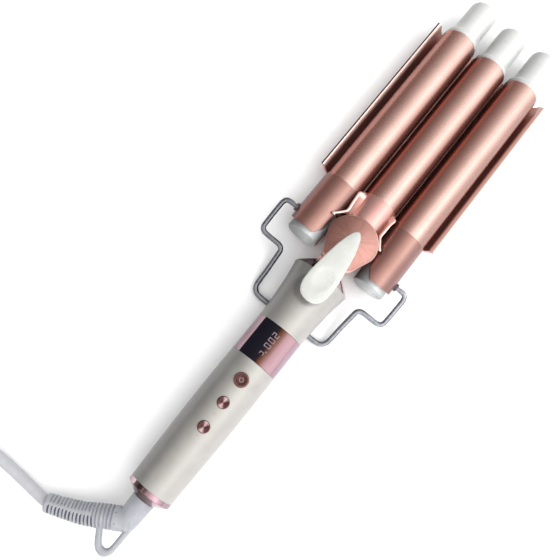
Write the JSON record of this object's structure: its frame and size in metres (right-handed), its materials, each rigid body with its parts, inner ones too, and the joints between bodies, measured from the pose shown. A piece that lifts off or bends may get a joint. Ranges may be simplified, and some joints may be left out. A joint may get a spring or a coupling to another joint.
{
  "type": "hair waver",
  "caption": "Three-barrel hair waver in rose gold and pearl white: thumb-lever clamp, display, three keys, folding wire stand, swivel lead with hanging eye",
  "frame": {"origin": "bottom of the tool's bounding box, centred, without the free lead and its plug", "axes": "+Y along the tool from its tail to the barrel tips, +Z out of the display side away from the table, +X to the right when the display faces the viewer and the tips are up"},
  "size_m": [0.2279, 0.5262, 0.043],
  "materials": {
    "rose_lacquer": "satin",
    "rose_mirror": "polished",
    "pearl_plastic": "satin",
    "cool_plastic": "gloss",
    "lens_black": "gloss",
    "steel": "polished",
    "lead_grey": "matte",
    "inner_plastic": "matte",
    "dark_plastic": "matte",
    "board_green": "satin",
    "heater_alloy": "matte"
  },
  "bodies": {
    "handle": {"handle_front_shell": "pearl_plastic", "handle_back_shell": "pearl_plastic", "head_front_shell": "pearl_plastic", "head_back_shell": "pearl_plastic", "display_band": "rose_mirror", "display_lens": "lens_black", "display_module": "dark_plastic", "control_board": "board_green", "key_switches": "dark_plastic", "chassis": "inner_plastic", "shell_screws": "steel", "tail_ring": "rose_mirror", "rear_frame": "rose_lacquer", "hinge_pin": "steel", "clamp_spring": "steel", "back_plate": "rose_lacquer", "frame_screws": "steel", "left_collar": "rose_lacquer", "right_collar": "rose_lacquer", "left_base_plug": "cool_plastic", "right_base_plug": "cool_plastic", "left_barrel": "rose_lacquer", "right_barrel": "rose_lacquer", "left_heater": "heater_alloy", "right_heater": "heater_alloy", "left_tip": "cool_plastic", "right_tip": "cool_plastic", "stand_bosses": "rose_lacquer", "cord_tube": "lead_grey", "cord_coil": "lead_grey", "cord_tail": "lead_grey", "cord_tie": "dark_plastic", "plug_body": "lead_grey", "plug_pins": "steel"},
    "clamp": {"clamp_hub": "rose_lacquer", "middle_collar": "rose_lacquer", "middle_barrel": "rose_lacquer", "middle_heater": "heater_alloy", "middle_tip": "cool_plastic", "thumb_lever": "cool_plastic", "lever_screws": "steel"},
    "stand": {"stand_wire": "steel"},
    "power_button": {"power_key": "rose_lacquer"},
    "plus_button": {"plus_key": "rose_lacquer"},
    "minus_button": {"minus_key": "rose_lacquer"},
    "swivel": {"swivel_elbow": "lead_grey", "strain_relief": "lead_grey"}
  },
  "joints": [
    {"name": "clamp_hinge", "type": "hinge", "parent": "handle", "child": "clamp", "pos_m": [0, 0.003, 0.02], "axis": [1, 0, 0], "range_deg": [0, 15], "stiffness_Nm_per_rad": 0.9, "springref_deg": -17.19},
    {"name": "stand_hinge", "type": "hinge", "parent": "handle", "child": "stand", "pos_m": [0, 0.0195, 0.016], "axis": [1, 0, 0], "range_deg": [0, 100]},
    {"name": "power_press", "type": "slide", "parent": "handle", "child": "power_button", "axis": [0, 0, -1], "range_m": [0, 0.0005], "stiffness_N_per_m": 800, "springref_m": -0.0005},
    {"name": "plus_press", "type": "slide", "parent": "handle", "child": "plus_button", "axis": [0, 0, -1], "range_m": [0, 0.0005], "stiffness_N_per_m": 800, "springref_m": -0.0005},
    {"name": "minus_press", "type": "slide", "parent": "handle", "child": "minus_button", "axis": [0, 0, -1], "range_m": [0, 0.0005], "stiffness_N_per_m": 800, "springref_m": -0.0005},
    {"name": "lead_swivel", "type": "hinge", "parent": "handle", "child": "swivel", "pos_m": [0, -0.176, 0.016], "axis": [0, 1, 0], "continuous": true}
  ]
}
